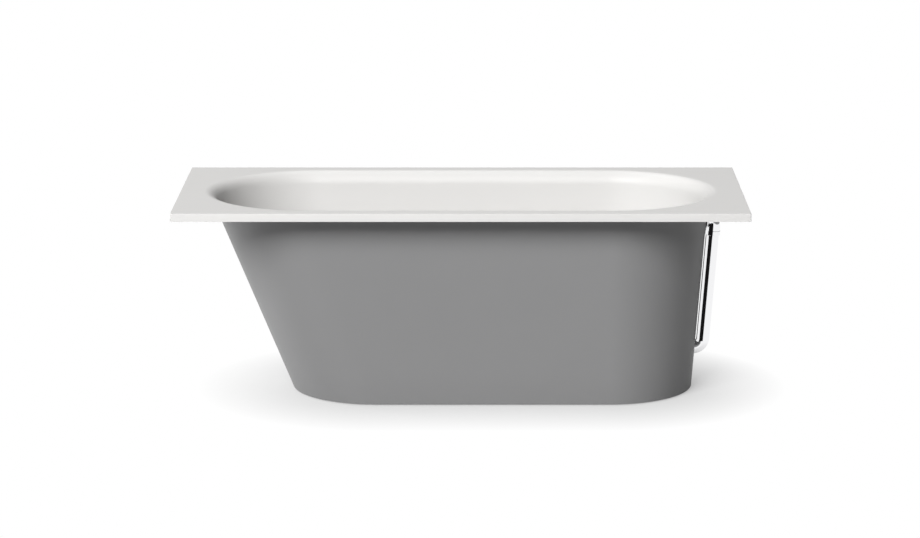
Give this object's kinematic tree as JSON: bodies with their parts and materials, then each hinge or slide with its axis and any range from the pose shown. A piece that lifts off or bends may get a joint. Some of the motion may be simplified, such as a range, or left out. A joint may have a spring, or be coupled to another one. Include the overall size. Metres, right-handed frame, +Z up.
{
  "type": "alcove bathtub",
  "caption": "Built-in bathtub with a flat rectangular deck, oval sloping basin, tapered casing, outside overflow pipe, push-open waste, trap and levelling feet.",
  "frame": {"origin": "on the floor, under the middle of the rectangular deck", "axes": "+X along the bath to the overflow and waste end, +Y to the back wall, +Z up"},
  "size_m": [1.7, 0.75, 0.608],
  "materials": {
    "white_tub": "smooth satin white, cast sanitary acrylic",
    "grey_casing": "fine matt mid grey",
    "chrome": "polished chrome plate on brass",
    "zinc_steel": "bright zinc plate",
    "brass_fitting": "turned brass",
    "white_plastic": "moulded white polypropylene",
    "seal_rubber": "matt black rubber",
    "foot_plastic": "moulded black nylon",
    "board": "sealed chipboard"
  },
  "bodies": {
    "bath": {"base_board": "board", "cleaning_plug": "white_plastic", "frame_rail_left": "zinc_steel", "frame_rail_right": "zinc_steel", "lock_nuts": "zinc_steel", "outer_casing": "grey_casing", "overflow_cover": "chrome", "overflow_elbow": "chrome", "overflow_gasket": "seal_rubber", "overflow_nut": "chrome", "overflow_ring": "chrome", "overflow_ring_seal": "seal_rubber", "overflow_screw": "chrome", "overflow_tube": "chrome", "overflow_tube_seal": "seal_rubber", "plug_cartridge": "brass_fitting", "rail_screws": "zinc_steel", "tee_nut": "white_plastic", "tee_seal": "seal_rubber", "trap_bend": "white_plastic", "trap_inlet_nut": "white_plastic", "trap_inlet_seal": "seal_rubber", "trap_outlet": "white_plastic", "trap_union_nut": "white_plastic", "trap_union_seal": "seal_rubber", "tub_basin": "white_tub", "waste_body": "white_plastic", "waste_flange": "chrome", "waste_flange_seal": "seal_rubber", "waste_gasket": "seal_rubber", "weld_nuts": "zinc_steel"},
    "plug": {"plug_cap": "chrome", "plug_seal": "seal_rubber", "plug_stem": "zinc_steel"},
    "foot_front_left": {"foot_front_left_rod": "zinc_steel", "foot_front_left_pad": "foot_plastic"},
    "foot_rear_left": {"foot_rear_left_rod": "zinc_steel", "foot_rear_left_pad": "foot_plastic"},
    "foot_front_right": {"foot_front_right_rod": "zinc_steel", "foot_front_right_pad": "foot_plastic"},
    "foot_rear_right": {"foot_rear_right_rod": "zinc_steel", "foot_rear_right_pad": "foot_plastic"}
  },
  "joints": [
    {"name": "plug_lift", "type": "slide", "parent": "bath", "child": "plug", "axis": [0, 0, 1], "range_m": [0, 0.009]},
    {"name": "foot_front_left_level", "type": "slide", "parent": "bath", "child": "foot_front_left", "axis": [0, 0, -1], "range_m": [0, 0.015]},
    {"name": "foot_rear_left_level", "type": "slide", "parent": "bath", "child": "foot_rear_left", "axis": [0, 0, -1], "range_m": [0, 0.015]},
    {"name": "foot_front_right_level", "type": "slide", "parent": "bath", "child": "foot_front_right", "axis": [0, 0, -1], "range_m": [0, 0.015]},
    {"name": "foot_rear_right_level", "type": "slide", "parent": "bath", "child": "foot_rear_right", "axis": [0, 0, -1], "range_m": [0, 0.015]}
  ]
}
